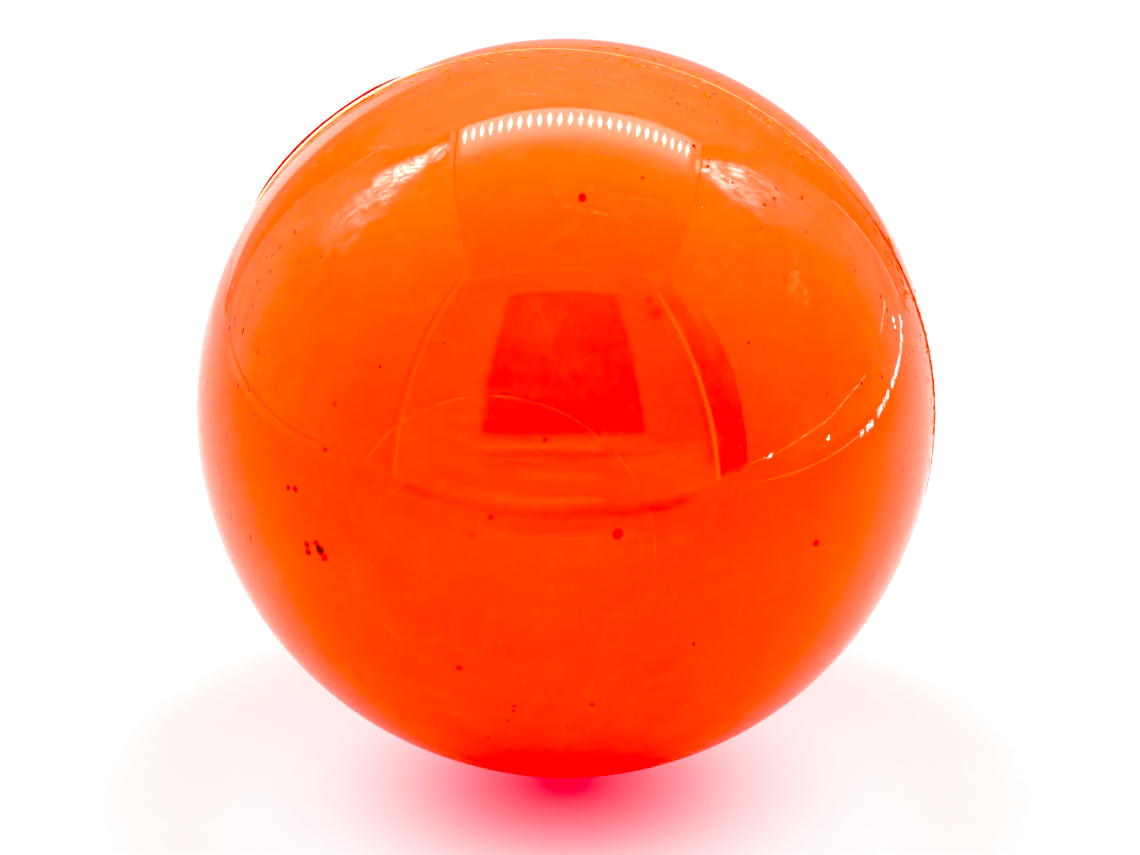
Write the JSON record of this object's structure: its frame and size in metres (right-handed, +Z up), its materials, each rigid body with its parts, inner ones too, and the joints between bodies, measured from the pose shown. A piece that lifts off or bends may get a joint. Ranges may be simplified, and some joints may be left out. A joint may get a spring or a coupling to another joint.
{
  "type": "cue ball",
  "caption": "Glossy blank billiard ball moulded in two halves, with a seam round its equator, a flush disc at each pole and a steel core.",
  "frame": {"origin": "centre of the ball", "axes": "+Z up as the ball rests; the moulding axis is Y, with the front pole at -Y and the seam in the XZ plane"},
  "size_m": [0.0574, 0.0572, 0.0574],
  "materials": {
    "shell_resin": "polished",
    "inlay_resin": "polished",
    "weld_resin": "satin",
    "filler_resin": "matte",
    "core_steel": "polished"
  },
  "bodies": {
    "root": {"front_shell": "shell_resin", "rear_shell": "shell_resin", "equator_weld_bead": "weld_resin", "front_inlay_disc": "inlay_resin", "rear_inlay_disc": "inlay_resin", "front_filler_half": "filler_resin", "rear_filler_half": "filler_resin", "steel_core_ball": "core_steel"}
  },
  "joints": []
}
